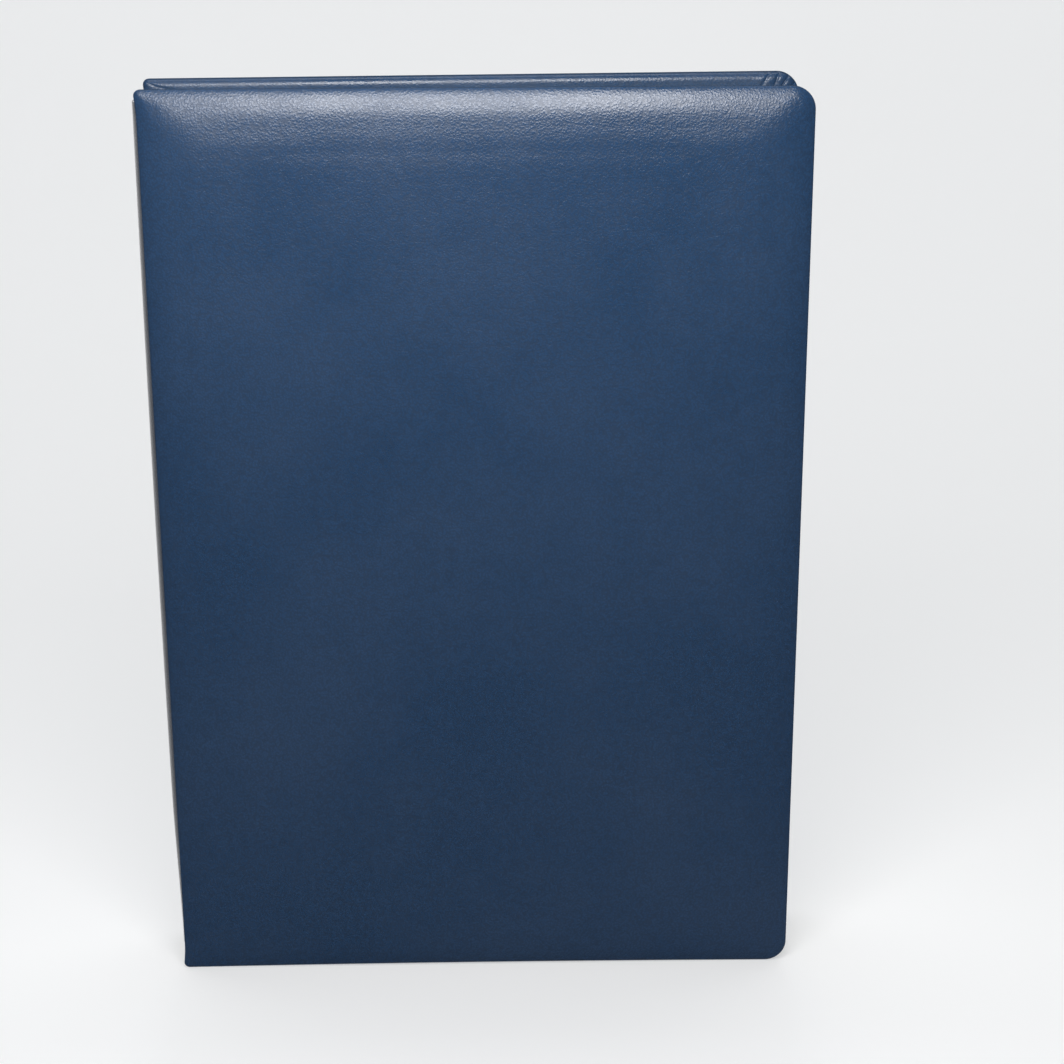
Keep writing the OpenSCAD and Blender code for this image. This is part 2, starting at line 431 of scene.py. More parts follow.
def roundCorner(x, y, cornerX, cornerY, radius):
    # moves the grid's square corner onto a quarter disc
    signX, signY = (1 if cornerX == 0 else -1), (1 if cornerY == 0 else -1)
    a = 1 - (x - cornerX) * signX / radius
    b = 1 - (y - cornerY) * signY / radius
    inside = (a > 0) & (b > 0)
    a, b = np.where(inside, a, 0), np.where(inside, b, 0)
    newX = cornerX + signX * radius * (1 - a * np.sqrt(1 - b * b / 2))
    newY = cornerY + signY * radius * (1 - b * np.sqrt(1 - a * a / 2))
    return np.where(inside, newX, x), np.where(inside, newY, y)


def edgeDistance(x, y, corners):
    # how far a point lies inside the outline, with the ridges at the corners softened
    nearX, nearY = np.minimum(x, coverW - x), np.minimum(y, coverH - y)
    soft = wrap["ridgeSoftness"]
    blend = np.maximum(soft - np.abs(nearX - nearY), 0) / soft
    nearest = np.minimum(nearX, nearY)
    distance = nearest - blend * blend * soft / 4 * smoothStep(nearest / soft)
    for cornerX, cornerY, radius in corners:
        a, b = radius - np.abs(x - cornerX), radius - np.abs(y - cornerY)
        round_ = radius - np.hypot(a, b)
        distance = np.where((a > 0) & (b > 0), np.minimum(distance, round_), distance)
    return np.maximum(distance, 0)


def crownOf(distance):
    share = np.clip(distance / wrap["crownRun"], 0, 1)
    return (1 - (1 - share) ** 2) ** wrap["crownPower"]


def softNoise(u, v, size, seed):
    values = [noise.noise(Vector((a / size, b / size, seed))) for a, b in zip(u.ravel(), v.ravel())]
    return np.array(values).reshape(u.shape)


def pleatShape(way, seed):
    # height of the gathers, by the way round the edge from a corner's middle:
    # soft tucks with sharp furrows between
    rng = np.random.default_rng(seed)
    count = int(2 * wrap["pleatReach"] / wrap["pleatPitch"]) + 1
    cuts = np.linspace(-wrap["pleatReach"], wrap["pleatReach"], count) + rng.uniform(-0.5, 0.5, count)
    sizes = rng.uniform(0.65, 1.0, count)
    height = np.zeros_like(way)
    for low, high, size in zip(cuts[:-1], cuts[1:], sizes):
        t = np.clip((way - low) / (high - low), 0, 1)
        height += np.sin(t * math.pi) ** 0.8 * (0.55 + 0.45 * t) * size * wrap["pleatHeight"]
    for cut, size in zip(cuts, sizes):
        height -= wrap["pleatDepth"] * size * np.exp(-(((way - cut) / wrap["furrow"]) ** 2))
    ease = wrap["pleatEase"]
    return height * (1 - smoothStep((np.abs(way) - wrap["pleatReach"] + ease) / ease))


padding = {
    "grid": 6.0, "held": 7.0, "pressure": 4.0, "frames": 20, "cap": 0.2, "tension": 15.0, "bending": 2.0,
}


def settledPadding(corners, seed):
    # how far the foam presses the wrap out, from a cloth held at its edge, on a coarse grid in mm;
    # the cloth moves up to 3.3 mm, so most of the face ends at the cap
    xs = np.linspace(0, coverW, int(coverW / padding["grid"]) + 1)
    ys = np.linspace(0, coverH, int(coverH / padding["grid"]) + 1)
    x, y = np.meshgrid(xs, ys)
    distance = edgeDistance(x, y, corners)
    crown = crownOf(distance)
    wave = softNoise(x, y, wrap["waveLength"] / 2, seed) * wrap["wave"] * crown
    start = (coverT - wrap["wallTop"]) * crown + wave
    points = np.column_stack([x.ravel(), y.ravel(), start.ravel()]) * mm
    helper = makePiece("paddingHelper", points, gridFaces(len(ys), len(xs)), coverLeather)
    held = helper.vertex_groups.new(name="held")
    held.add(np.flatnonzero(distance.ravel() < padding["held"]).tolist(), 1.0, "REPLACE")
    cloth = helper.modifiers.new("cloth", "CLOTH").settings
    cloth.vertex_group_mass = "held"
    cloth.use_pressure = True
    cloth.uniform_pressure_force = padding["pressure"]
    cloth.effector_weights.gravity = 0
    cloth.tension_stiffness = cloth.compression_stiffness = padding["tension"]
    cloth.bending_stiffness = padding["bending"]
    for number in range(1, padding["frames"] + 1):
        bpy.context.scene.frame_set(number)
    settled = helper.evaluated_get(bpy.context.evaluated_depsgraph_get()).data
    flat = np.empty(len(points) * 3)
    settled.vertices.foreach_get("co", flat)
    moved = flat.reshape(-1, 3)[:, 2].reshape(x.shape) / mm - start
    print("padding settled, mm out:", round(moved.min(), 3), "to", round(moved.max(), 3))
    bpy.context.scene.frame_set(1)
    bpy.data.objects.remove(helper)
    return xs, ys, padding["cap"] * np.tanh(moved / padding["cap"])


def sampleGrid(xs, ys, values, x, y):
    # values between the points of a coarse grid
    column, row = x / xs[-1] * (len(xs) - 1), y / ys[-1] * (len(ys) - 1)
    i, j = np.clip(column.astype(int), 0, len(xs) - 2), np.clip(row.astype(int), 0, len(ys) - 2)
    a, b = smoothStep(column - i), smoothStep(row - j)
    near = values[j, i] * (1 - a) + values[j, i + 1] * a
    far = values[j + 1, i] * (1 - a) + values[j + 1, i + 1] * a
    return near * (1 - b) + far * b


def coverWrap(side):
    cover = covers[side]
    seed = 3.7 if side == "front" else 11.2
    xs, ys = edgeLines(coverW), edgeLines(coverH)
    x, y = np.meshgrid(xs, ys)
    corners = [
        (0, 0, wrap["spineCorner"]), (coverW, 0, wrap["foreCorner"]),
        (coverW, coverH, wrap["foreCorner"]), (0, coverH, wrap["spineCorner"]),
    ]
    for corner in corners:
        x, y = roundCorner(x, y, *corner)
    crown = crownOf(edgeDistance(x, y, corners))
    wave = softNoise(x, y, wrap["waveLength"], seed) * wrap["wave"] * crown
    swell = sampleGrid(*settledPadding(corners, seed), x, y)
    rise = coverT - wrap["wallTop"] - wrap["wave"] - padding["cap"]
    w = wrap["wallTop"] + rise * crown + wave + swell
    rows, columns = x.shape
    points = [np.stack([x.ravel(), y.ravel(), w.ravel()], -1)]
    faces = gridFaces(rows, columns)

    # the grid's border, anticlockwise from the tail's spine corner
    index = np.arange(rows * columns).reshape(rows, columns)
    border = np.concatenate([index[0, :-1], index[:-1, -1], index[-1, :0:-1], index[:0:-1, 0]])
    edge = points[0][border][:, :2]

    # each border point belongs to a corner's arc or to the straight side after it
    centres, inwards = [], []
    for cornerX, cornerY, radius in corners:
        inward = np.array([1 if cornerX == 0 else -1, 1 if cornerY == 0 else -1])
        inwards.append(inward)
        centres.append(np.array([cornerX, cornerY]) + inward * radius)
    owner = np.full(len(edge), -1)
    reach = np.zeros((len(edge), 2))
    for k, (cornerX, cornerY, radius) in enumerate(corners):
        offset = edge - centres[k]
        mine = (offset * inwards[k] <= 1e-6).all(1)
        owner[mine] = k
        reach[mine] = offset[mine] / radius
    onSides = [np.isclose(edge[:, 1], 0), np.isclose(edge[:, 0], coverW), np.isclose(edge[:, 1], coverH)]
    sideOf = np.select(onSides, [0, 1, 2], 3)
    sideNormal = np.array([[0, -1], [1, 0], [0, 1], [-1, 0]], float)

    def ring(inset):
        result = np.zeros_like(edge)
        radii = [max(corner[2] - inset, 0.5) for corner in corners]
        moved = [np.array(corner[:2]) + inwards[k] * (inset + radii[k]) for k, corner in enumerate(corners)]
        for k in range(4):
            mine = owner == k
            result[mine] = moved[k] + reach[mine] * radii[k]
            straight = (owner == -1) & (sideOf == k)
            nxt = (k + 1) % 4
            axis = k % 2
            start, end = centres[k][axis], centres[nxt][axis]
            t = (edge[straight][:, axis] - start) / (end - start)
            result[straight] = moved[k] + sideNormal[k] * radii[k]
            result[straight, axis] = moved[k][axis] + t * (moved[nxt][axis] - moved[k][axis])
        return result

    # round the edge, then flat over the board's inner face
    roll = wrap["roll"]
    bends = np.radians(np.linspace(0, 90, 10))
    flatInsets = (3.0, 3.5, 4.2, 5.0, 6.2, 8.0, 10.5, 13.0, wrap["turnIn"])
    profile = [(0, roll + 0.6, 0.0)]
    profile += [(roll * (1 - math.cos(b)), roll * (1 - math.sin(b)), b) for b in bends]
    profile += [(inset, 0.0, math.pi / 2) for inset in flatInsets]
    count = len(edge)
    onArc = owner >= 0
    outwards = np.where(onArc[:, None], reach, sideNormal[sideOf])
    steps = np.linalg.norm(np.roll(edge, -1, axis=0) - edge, axis=1)
    way = np.concatenate([[0], np.cumsum(steps)[:-1]])
    for number, (inset, height, bend) in enumerate(profile):
        at = ring(inset)
        travel = roll * bend + max(inset - roll, 0)
        amount = np.zeros(count)
        for k in (1, 2):
            middle = way[owner == k].mean()
            amount += pleatShape((way - middle) / (1 + wrap["pleatLean"] * travel), int(seed * 10) + k)
        # the gathers die out under the pastedown
        faded = 1 - smoothStep((inset - wrap["fadeFrom"]) / wrap["fadeRun"])
        amount *= smoothStep((bend - 0.3) / 0.6) * faded
        lift = np.full(count, float(height)) - amount * math.sin(bend)
        at = at + outwards * (amount * math.cos(bend))[:, None]
        # the mitre at each spine corner: the head's turn-in laps over the side's
        for head in (0, coverH):
            p, q = at[:, 0], np.abs(head - at[:, 1])
            path = wrap["mitreRun"] * (1 - np.exp(-p / 5.0)) * 0.72
            near = (1 - smoothStep((p - wrap["mitreEnd"]) / 5)) * smoothStep((bend - 0.5) / 0.6)
            mitre = np.exp(-(((q - path) / wrap["mitreWidth"]) ** 2))
            under = smoothStep((q - path) / 0.5) * (1 - smoothStep((q - path - 3) / 6))
            lift = lift + (wrap["mitreDepth"] * mitre + wrap["mitreStep"] * under) * near
        points.append(np.column_stack([at, lift]))
        first = rows * columns + number * count
        before = border if number == 0 else np.arange(first - count, first)
        now = np.arange(first, first + count)
        faces += np.stack([before, now, np.roll(now, -1), np.roll(before, -1)], -1).tolist()

    cloud = np.concatenate(points)
    fromEnd = np.minimum(cloud[:, 1], coverH - cloud[:, 1])
    tip = np.exp(-((fromEnd / wrap["tipReach"]) ** 2)) * np.exp(-((cloud[:, 0] / wrap["tipReach"]) ** 2))
    cloud[:, 0] -= wrap["tip"] * tip
    belly = 1 - (cloud[:, 0] / coverW * 2 - 1) ** 2
    cloud[:, 1] += wrap["pullIn"] * belly * (1 - smoothStep(cloud[:, 1] / 18))
    placed = place(cover, cloud[:, 0] + cover["u"][0], cloud[:, 1], cloud[:, 2])
    piece = makePiece(f"{side}CoverWrap", placed, faces, coverLeather)
    pointUp(piece)
    solid(piece, wrap["leather"])
    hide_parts(f"{side}_cover_leather")
    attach(piece, f"{side}_cover")


for side in sides:
    coverWrap(side)
print("covers made")


strip = {
    "thickness": 0.8, "tabThickness": 0.45, "tabWidth": 12.0, "tabGap": 0.28,
    "flatter": 0.16, "tailFlatter": 0.3, "tailRun": 60, "bevel": 0.3, "endGap": 6,
    "arcShare": 0.94, "bendFrom": 4.5, "bendTo": 0.6,
    "arcPoints": 22, "joinPoints": 10, "tabPoints": 12, "levels": 60,
}


def spineProfile(side):
    # from the middle of the spine round to the tab inside the cover, outer surface, in mm
    sign = sides[side]
    half = max(abs(spineLow[1]), abs(spineHigh[1]))
    bulge = spineX - spineLow[0]
    radius = (half * half + bulge * bulge) / (2 * bulge)
    reach = math.asin(half / radius)
    angles = np.linspace(0, reach * strip["arcShare"], strip["arcPoints"])
    arc = [(spineLow[0] + radius * (1 - math.cos(a)), radius * math.sin(a)) for a in angles]
    cover = covers[side]
    tabStart = cover["pivot"] + cover["along"] * cover["u"][0] - cover["outward"] * strip["tabGap"]
    reaches = np.linspace(0.9, strip["tabWidth"], strip["tabPoints"])
    inner = [tabStart[:2] + cover["along"][:2] * d for d in reaches]
    inner = [(p[0], abs(p[1])) for p in inner]
    # a short curve joins them
    p0, p3 = np.array(arc[-1]), np.array(inner[0])
    d0 = np.array(arc[-1]) - np.array(arc[-2])
    d3 = np.array(inner[1]) - np.array(inner[0])
    p1 = p0 + d0 / np.linalg.norm(d0) * 0.5
    p2 = p3 - d3 / np.linalg.norm(d3) * 0.7
    t = np.linspace(0, 1, strip["joinPoints"] + 2)[1:-1, None]
    join = (1 - t) ** 3 * p0 + 3 * (1 - t) ** 2 * t * p1 + 3 * (1 - t) * t * t * p2 + t ** 3 * p3
    line = np.array(arc + join.tolist() + inner)
    line[:, 1] *= sign
    return line


def spineStrip(side):
    line = spineProfile(side)
    tangent = np.gradient(line, axis=0)
    tangent /= np.linalg.norm(tangent, axis=1)[:, None]
    sign = sides[side]
    # the inner surface lies towards the leaves
    normal = np.column_stack([-tangent[:, 1], tangent[:, 0]]) * -sign
    thick = np.full(len(line), strip["thickness"])
    tab, join = strip["tabPoints"], strip["joinPoints"]
    thick[-tab:] = strip["tabThickness"]
    thick[-tab - join:-tab] = np.linspace(strip["thickness"], strip["tabThickness"], join)
    low, high = spineLow[2], spineHigh[2]
    bevel = strip["bevel"]
    ends = np.array([0, bevel * 0.3, bevel])
    between = np.linspace(low + strip["endGap"], high - strip["endGap"], strip["levels"])
    levels = np.concatenate([low + ends, between, high - ends[::-1]])
    drawIn = np.array([bevel, bevel * 0.3, 0] + [0] * strip["levels"] + [0, bevel * 0.3, bevel])
    points, count = [], len(line)
    for z, inset in zip(levels, drawIn):
        taper = 1 - strip["flatter"] * (2 * (z - low) / (high - low) - 1) ** 2
        taper -= strip["tailFlatter"] * (1 - smoothStep((z - low) / strip["tailRun"]))
        outer = line + normal * inset
        inner = line + normal * (thick - inset)[:, None]
        loop = np.concatenate([outer, inner[::-1]])
        loop[:, 0] = spineX + (loop[:, 0] - spineX) * np.where(loop[:, 0] < spineX, taper, 1)
        points.append(np.column_stack([loop, np.full(len(loop), z)]))
    cloud = np.concatenate(points)
    faces, ringSize = [], 2 * count
    for k in range(len(levels) - 1):
        a = np.arange(ringSize) + k * ringSize
        b = a + ringSize
        faces += np.stack([a, np.roll(a, -1), np.roll(b, -1), b], -1).tolist()
    for k in (0, len(levels) - 1):
        base = k * ringSize
        for i in range(count - 1):
            far = base + ringSize - 1 - i
            faces.append([base + i, base + i + 1, far - 1, far])
    piece = makePiece(f"{side}SpineLeather", cloud * mm, faces, spineLeather)
    pointUp(piece)
    if side == "front":
        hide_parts("spine_leather", "front_hinge_tab")
    else:
        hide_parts("rear_hinge_tab")
    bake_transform(piece)


for side in sides:
    spineStrip(side)
print("spine made")


paste = {"thickness": 0.2, "gap": 0.06, "ridge": 0.12, "overTab": 0.5, "start": 0.7}


def sheetSolid(name, u, v, w, thickness, swing, material):
    # a thin closed sheet over a grid of u and v, with its outer face at w
    rows, columns = u.shape
    outer = place(swing, u, v, w)
    inner = place(swing, u, v, w - thickness)
    faces = gridFaces(rows, columns) + gridFaces(rows, columns, rows * columns, True)
    index = np.arange(rows * columns).reshape(rows, columns)
    border = np.concatenate([index[0, :-1], index[:-1, -1], index[-1, :0:-1], index[:0:-1, 0]])
    below = border + rows * columns
    faces += np.stack([border, below, np.roll(below, -1), np.roll(border, -1)], -1).tolist()
    piece = makePiece(name, np.concatenate([outer, inner]), faces, material)
    pointUp(piece)
    return piece


def pastedown(side):
    cover = covers[side]
    sheet = swingFrame(side, f"{side}_pastedown", f"{side}_cover_hinge", 1)
    far = sheet["u"][1] - cover["u"][0]
    u = np.concatenate([np.linspace(paste["start"], 14, 24), np.linspace(15.5, far, 60)])
    v = np.linspace(*sheet["v"], 110)
    u, v = np.meshgrid(u, v)
    w = np.full(u.shape, -paste["gap"])
    w = w - paste["overTab"] * (1 - smoothStep((u - strip["tabWidth"] + 0.3) / 1.6))
    # the turn-ins and the board's window show faintly through the paper
    edge = np.minimum(np.minimum(coverW - u, v), coverH - v)
    w = w + paste["ridge"] * smoothStep((edge - wrap["turnIn"] + 0.8) / 2.0)
    piece = sheetSolid(f"{side}Pastedown", u + cover["u"][0], v, w, paste["thickness"], cover, endpaper)
    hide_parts(f"{side}_pastedown")
    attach(piece, f"{side}_cover")


leaf = {
    "bind": 7.0, "thickness": 0.14, "foldIn": 0.4, "shoulderGap": 0.08, "shoulderStep": 0.12,
    "curl": 0.35, "curlShare": 0.35, "curlSize": 90.0, "curlFrom": 20, "curlRun": 80,
}


def looseSheet(side, name, number):
    node = f"{side}_{name}"
    joint = f"{side}_{name}_turn"
    swing = swingFrame(side, node, joint, turnShares[joint])
    low, high = swing["u"]
    start = blockLow[0] + leaf["foldIn"] - swing["pivot"][0]
    bind = np.linspace(start, low + leaf["bind"], 16)
    u = np.concatenate([bind, np.linspace(low + leaf["bind"], high, 50)[1:]])
    v = np.linspace(*swing["v"], 60)
    u, v = np.meshgrid(u, v)
    w = np.full(u.shape, (swing["w"][0] + swing["w"][1]) / 2 + leaf["thickness"] / 2)
    # at the spine every sheet comes down onto the shoulder of the sewn leaves
    shoulder = abs(blockLow[1]) + leaf["shoulderGap"] + leaf["shoulderStep"] * (3 - number)
    rest = shoulder - abs(swing["pivot"][1])
    w = w + (rest - w) * (1 - smoothStep((u - start) / (low + leaf["bind"] - start)))
    slack = smoothStep((u - low - leaf["curlFrom"]) / leaf["curlRun"])
    ripple = softNoise(u, v, leaf["curlSize"], number * 3.1 + sides[side])
    w = w + leaf["curl"] * slack * leaf["curlShare"] * ripple
    material = endpaper if name == "flyleaf" else ledgerPaper
    piece = sheetSolid(f"{side}{name.title().replace('_', '')}", u, v, w, leaf["thickness"], swing, material)
    pageMap(piece)
    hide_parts(node)
    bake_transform(piece)


sheetNames = ["flyleaf", "leaf_1", "leaf_2", "leaf_3"]
for side in sides:
    pastedown(side)
    for number, name in enumerate(sheetNames):
        looseSheet(side, name, number)
print("endpapers and loose leaves made")


section = {"leaves": 10, "paper": 0.12, "bind": 7.0, "pinch": 0.45, "ragged": 0.35, "lift": 0.05}


def startTree(name, inputs):
    # an empty geometry tree with named inputs
    tree = bpy.data.node_groups.new(name, "GeometryNodeTree")
    for socket, kind in inputs.items():
        tree.interface.new_socket(name=socket, in_out="INPUT", socket_type=f"NodeSocket{kind}")
    tree.interface.new_socket(name="Geometry", in_out="OUTPUT", socket_type="NodeSocketGeometry")
    return tree, addNode(tree, "NodeGroupInput").outputs


def finishTree(tree, geometry, material):
    done = addNode(tree, "GeometryNodeSetMaterial", {"Geometry": geometry, "Material": material}).outputs[0]
    addNode(tree, "NodeGroupOutput", {0: done})


def pointOf(tree, x, y, z):
    return addNode(tree, "ShaderNodeCombineXYZ", {0: x, 1: y, 2: z}).outputs[0]


def rowOf(tree, thing, count, start, length):
    # copies of one thing, evenly along Y
    gap = mathOf(tree, "DIVIDE", length, mathOf(tree, "SUBTRACT", count, 1.0))
    links = {"Count": count, "Start Location": start, "Offset": pointOf(tree, 0.0, gap, 0.0)}
    row = addNode(tree, "GeometryNodeMeshLine", links).outputs["Mesh"]
    links = {"Points": row, "Instance": thing}
    return addNode(tree, "GeometryNodeInstanceOnPoints", links).outputs["Instances"]


def leafStackTree():
    tree, group = startTree("leafStack", {
        "Leaves": "Int", "Corner": "Vector", "Size": "Vector", "Paper": "Float", "Bind": "Float",
        "Pinch": "Float", "Ragged": "Float", "Lift": "Float", "Seed": "Int", "Material": "Material",
    })
    size = addNode(tree, "ShaderNodeSeparateXYZ", {0: group["Size"]}).outputs
    corner = addNode(tree, "ShaderNodeSeparateXYZ", {0: group["Corner"]}).outputs

    # one leaf, from its fold to its fore edge
    leafSize = pointOf(tree, size["X"], group["Paper"], size["Z"])
    links = {"Size": leafSize, "Vertices X": 26, "Vertices Y": 2, "Vertices Z": 8}
    block = addNode(tree, "GeometryNodeMeshCube", links).outputs["Mesh"]
    half = vectorOf(tree, "SCALE", leafSize, 0.5)
    sheet = addNode(tree, "GeometryNodeTransform", {"Geometry": block, "Translation": half}).outputs[0]

    # a row of them across the section
    spare = mathOf(tree, "SUBTRACT", size["Y"], group["Paper"])
    placed = rowOf(tree, sheet, group["Leaves"], group["Corner"], spare)
    short = mathOf(tree, "DIVIDE", group["Ragged"], size["X"])
    least = mathOf(tree, "SUBTRACT", 1.0, short)
    links = {2: least, 3: 1.0, "Seed": group["Seed"]}
    width = addNode(tree, "FunctionNodeRandomValue", links, data_type="FLOAT").outputs[1]
    fit = pointOf(tree, width, 1.0, 1.0)
    cut = addNode(tree, "GeometryNodeScaleInstances", {"Instances": placed, "Scale": fit}).outputs[0]
    real = addNode(tree, "GeometryNodeRealizeInstances", {"Geometry": cut}).outputs[0]

    # pinched together at the sewn fold, and slightly wavy at the fore edge
    where = addNode(tree, "GeometryNodeInputPosition").outputs[0]
    at = addNode(tree, "ShaderNodeSeparateXYZ", {0: where}).outputs
    middle = mathOf(tree, "ADD", corner["Y"], mathOf(tree, "MULTIPLY", size["Y"], 0.5))
    away = mathOf(tree, "SUBTRACT", at["Y"], middle)
    along = mathOf(tree, "DIVIDE", mathOf(tree, "SUBTRACT", at["X"], corner["X"]), group["Bind"], clamp=True)
    shut = mathOf(tree, "POWER", mathOf(tree, "SUBTRACT", 1.0, along), 2.5)
    links = {"Value": mathOf(tree, "SUBTRACT", 1.0, shut), "To Min": group["Pinch"], "To Max": 1.0}
    share = addNode(tree, "ShaderNodeMapRange", links).outputs["Result"]
    drawn = mathOf(tree, "MULTIPLY", away, mathOf(tree, "SUBTRACT", share, 1.0))
    spread = vectorOf(tree, "MULTIPLY", where, (14.0, 2600.0, 9.0))  # each leaf waves on its own
    wavy = addNode(tree, "ShaderNodeTexNoise", {"Vector": spread, "Scale": 1.0, "Detail": 1.0}).outputs["Fac"]
    out = mathOf(tree, "DIVIDE", mathOf(tree, "SUBTRACT", at["X"], corner["X"]), size["X"])
    swell = mathOf(tree, "MULTIPLY", mathOf(tree, "SUBTRACT", wavy, 0.5), group["Lift"])
    swell = mathOf(tree, "MULTIPLY", swell, out)
    offset = pointOf(tree, 0.0, mathOf(tree, "ADD", drawn, swell), 0.0)
    bent = addNode(tree, "GeometryNodeSetPosition", {"Geometry": real, "Offset": offset}).outputs[0]
    finishTree(tree, bent, group["Material"])
    return tree


def nodePiece(name, tree, values):
    # runs a geometry tree and keeps its result as a plain mesh
    mesh = bpy.data.meshes.new(name)
    piece = bpy.data.objects.new(name, mesh)
    bpy.context.scene.collection.objects.link(piece)
    run = piece.modifiers.new("make", "NODES")
    run.node_group = tree
    for item in tree.interface.items_tree:
        if item.item_type == "SOCKET" and item.in_out == "INPUT" and item.name in values:
            run[item.identifier] = values[item.name]
    bpy.context.view_layer.update()
    return bake(piece)


stackTree = leafStackTree()
sectionNames = sorted(n for n in frame["nodes"] if n.startswith("section_"))
for number, node in enumerate(sectionNames):
    low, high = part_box(node)
    edge = number in (0, len(sectionNames) - 1)
    piece = nodePiece(f"section{number + 1}Leaves", stackTree, {
        "Leaves": section["leaves"], "Corner": tuple(low), "Size": tuple(high - low),
        "Paper": section["paper"] * mm, "Bind": section["bind"] * mm, "Pinch": section["pinch"],
        "Ragged": section["ragged"] * mm, "Lift": section["lift"] * mm, "Seed": number + 4,
        "Material": ledgerPaper if edge else leafPaper,
    })
    pageMap(piece)
    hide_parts(node)
    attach(piece, "book_block")
print("sections made")


band = {"radius": 1.25, "thread": 0.24, "wraps": 46}


def stripedBandMaterial():
    material, tree, shader = newMaterial("stripedBand", (0.5, 0.55, 0.62), 0.7)
    source = addNode(tree, "ShaderNodeTexCoord").outputs["Object"]
    across = addNode(tree, "ShaderNodeSeparateXYZ", {0: source}).outputs["Y"]
    stripe = mathOf(tree, "PINGPONG", mathOf(tree, "DIVIDE", across, 0.0021), 0.5)
    share = rangeOf(tree, stripe, 0.24, 0.27)
    color = mixColors(tree, share, (0.80, 0.79, 0.74), (0.03, 0.06, 0.15))
    tree.links.new(color, shader.inputs["Base Color"])
    tree.links.new(bumpOf(tree, noiseOf(tree, source, 5000.0, 2.0), 0.00004), shader.inputs["Normal"])
    return material


def threadBandTree():
    # close turns of thread round a cord, side by side along Y
    tree, group = startTree("threadBand", {
        "Start": "Vector", "Length": "Float", "Turns": "Int", "Radius": "Float", "Thread": "Float",
        "Material": "Material",
    })
    circle = "GeometryNodeCurvePrimitiveCircle"
    ring = addNode(tree, circle, {"Resolution": 20, "Radius": group["Radius"]}).outputs["Curve"]
    cross = addNode(tree, circle, {"Resolution": 6, "Radius": group["Thread"]}).outputs["Curve"]
    loop = addNode(tree, "GeometryNodeCurveToMesh", {"Curve": ring, "Profile Curve": cross}).outputs[0]
    turn = (math.radians(90), 0, math.radians(4))
    upright = addNode(tree, "GeometryNodeTransform", {"Geometry": loop, "Rotation": turn}).outputs[0]
    turns = rowOf(tree, upright, group["Turns"], group["Start"], group["Length"])
    real = addNode(tree, "GeometryNodeRealizeInstances", {"Geometry": turns}).outputs[0]
    soft = addNode(tree, "GeometryNodeSetShadeSmooth", {"Geometry": real}).outputs[0]
    finishTree(tree, soft, group["Material"])
    return tree


bandTree = threadBandTree()
bandCotton = stripedBandMaterial()
for node, upper in (("head_band", True), ("tail_band", False)):
    low, high = (np.array(p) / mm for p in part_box(node))
    centreZ = high[2] - band["radius"] if upper else low[2] + band["radius"]
    thread = band["thread"]
    piece = nodePiece(node.replace("_b", "B"), bandTree, {
        "Start": ((high[0] - band["radius"]) * mm, (low[1] + thread) * mm, centreZ * mm),
        "Length": (high[1] - low[1] - 2 * thread) * mm, "Turns": band["wraps"],
        "Radius": (band["radius"] - thread) * mm, "Thread": thread * mm,
        "Material": bandCotton,
    })
    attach(piece, "book_block")


keptMaterials = {
    "front_cover_foam": openFoam, "rear_cover_foam": openFoam,
    "front_cover_board": millboard, "rear_cover_board": millboard,
    "spine_lining": kraftPaper, "spine_mull": mullCloth, "sewing_thread": waxedThread,
    "sewing_tape_1": linenTape, "sewing_tape_2": linenTape, "sewing_tape_3": linenTape,
    "head_band": linenTape, "tail_band": linenTape,
}
for node, material in keptMaterials.items():
    kept = frame["nodes"][node]
    kept.data.materials.clear()
    kept.data.materials.append(material)
print("bands and kept pieces finished")


studio = {
    "floor": 0.5, "glow": 0.43, "rear": 1.9, "front": 4.0, "side": 4.0, "curve": 0.47, "height": 3.0,
    "around": 96, "air": 0.06,
}


def studioBowl():
    # a floor that curves up into a wall all round, nearest behind the book
    rings = [(0.02, 0.0), (0.2, 0.0), (1 - studio["curve"], 0.0)]
    for a in np.radians(np.linspace(6, 90, 15)):
        rise = studio["curve"] * studio["rear"] * (1 - math.cos(a))
        rings.append((1 - studio["curve"] * (1 - math.sin(a)), rise))
    rings.append((1.0, studio["height"]))
    points = []
    for reach, height in rings:
        for a in np.linspace(0, math.tau, studio["around"], endpoint=False):
            depth = studio["rear"] if math.sin(a) > 0 else studio["front"]
            points.append((studio["side"] * reach * math.cos(a), depth * reach * math.sin(a), height))
    faces = []
    for k in range(len(rings) - 1):
        inner = np.arange(studio["around"]) + studio["around"] * k
        outer = inner + studio["around"]
        faces += np.stack([inner, outer, np.roll(outer, -1), np.roll(inner, -1)], -1).tolist()
    faces.append(list(range(studio["around"])))
    material, tree, shader = newMaterial("paleFloor", (studio["floor"],) * 3, 0.9)
    shader.inputs["Specular IOR Level"].default_value = 0.1
    piece = makePiece("floor", points, faces, material)
    piece.visible_glossy = False
    piece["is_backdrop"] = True
    cloud = noiseOf(tree, objectPoints(tree), 6.0, 2.0)
    pale = studio["floor"]
    cool, warm = (pale * 0.99, pale, pale * 1.01), (pale * 1.01, pale * 1.015, pale * 1.03)
    shades = mixColors(tree, cloud, cool, warm)
    tree.links.new(shades, shader.inputs["Base Color"])
    shader.inputs["Emission Color"].default_value = (0.985, 0.995, 1.0, 1)
    shader.inputs["Emission Strength"].default_value = studio["glow"]
    material.cycles.emission_sampling = "NONE"  # the glow fills shadows but leaves no sheen on the leather


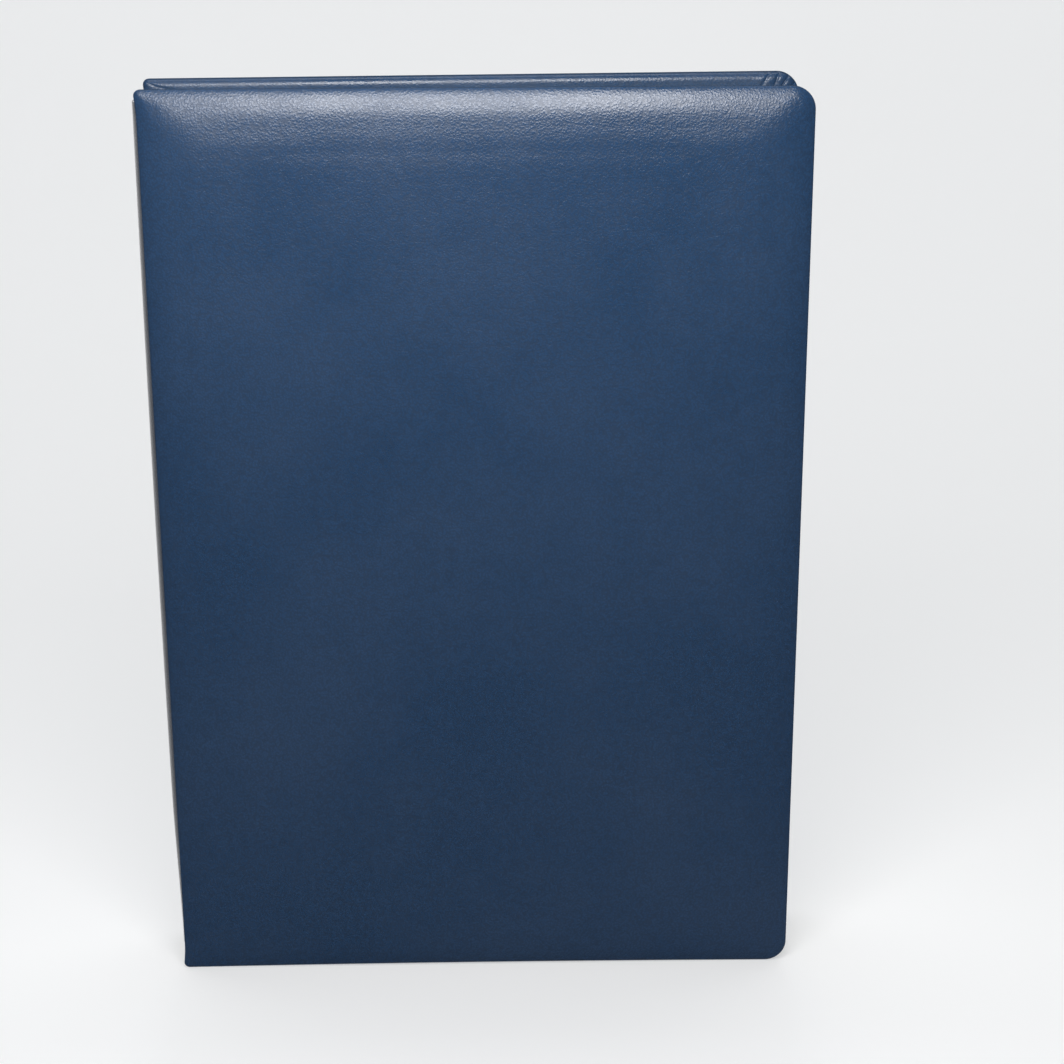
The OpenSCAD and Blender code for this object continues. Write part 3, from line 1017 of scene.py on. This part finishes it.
def softLight(name, at, target, size, power, color=(1, 1, 1), spread=180):
    lamp = bpy.data.lights.new(name, "AREA")
    lamp.shape = "RECTANGLE"
    lamp.size, lamp.size_y = size
    lamp.energy = power
    lamp.color = color
    holder = bpy.data.objects.new(name, lamp)
    bpy.context.scene.collection.objects.link(holder)
    holder.location = at
    aim = Vector(target) - Vector(at)
    holder.rotation_euler = aim.to_track_quat("-Z", "Y").to_euler()
    holder.visible_camera = False
    lamp.spread = math.radians(spread)
    return holder


def lightStudio():
    world = bpy.data.worlds.new("studioAir")
    bpy.context.scene.world = world
    world.use_nodes = True
    world.node_tree.nodes["Background"].inputs["Color"].default_value = (0.9, 0.95, 1.0, 1)
    world.node_tree.nodes["Background"].inputs["Strength"].default_value = studio["air"]
    warmWhite = (1.0, 0.985, 0.975)
    softLight("frontPanel", (-0.02, -0.285, 0.478), (-0.02, -0.02, 0.27), (0.28, 0.15), 1.85, warmWhite)
    rear = softLight("backPanel", (0.03, 0.7, 0.27), (0.03, 0.02, 0.23), (0.4, 0.12), 0.45, spread=40)
    rear.visible_glossy = False  # it only lifts the rear face
    softLight("wallWash", (0.0, 0.55, 2.2), (0, 1.6, 0.6), (2.4, 0.8), 21)


view = {
    "lens": 77.1, "across": 110.3, "away": 725.4, "up": 408.4, "yaw": 1.08, "pitch": 18.8, "roll": -0.21,
}


def placeCamera():
    # measured from the front cover's lower spine corner, at the middle of its edge
    cover = covers["front"]
    at = place(cover, cover["u"][0] + view["across"], view["up"], view["away"])[0]
    yaw, pitch, roll = (math.radians(view[name]) for name in ("yaw", "pitch", "roll"))
    yaw += ajar
    forward = Vector((math.sin(yaw) * math.cos(pitch), math.cos(yaw) * math.cos(pitch), -math.sin(pitch)))
    right = Vector((math.cos(yaw), -math.sin(yaw), 0))
    up = right.cross(forward)
    tiltedRight = right * math.cos(roll) + up * math.sin(roll)
    tiltedUp = up * math.cos(roll) - right * math.sin(roll)
    lens = bpy.data.cameras.new("camera")
    lens.lens = view["lens"]
    lens.sensor_width = 36
    camera = bpy.data.objects.new("camera", lens)
    bpy.context.scene.collection.objects.link(camera)
    turn = Matrix((tiltedRight, tiltedUp, -forward)).transposed()
    camera.matrix_world = Matrix.Translation(Vector(at)) @ turn.to_4x4()
    bpy.context.scene.camera = camera


studioBowl()
lightStudio()
placeCamera()
bpy.context.scene.view_settings.view_transform = "Standard"
print("studio ready")

low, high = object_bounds()
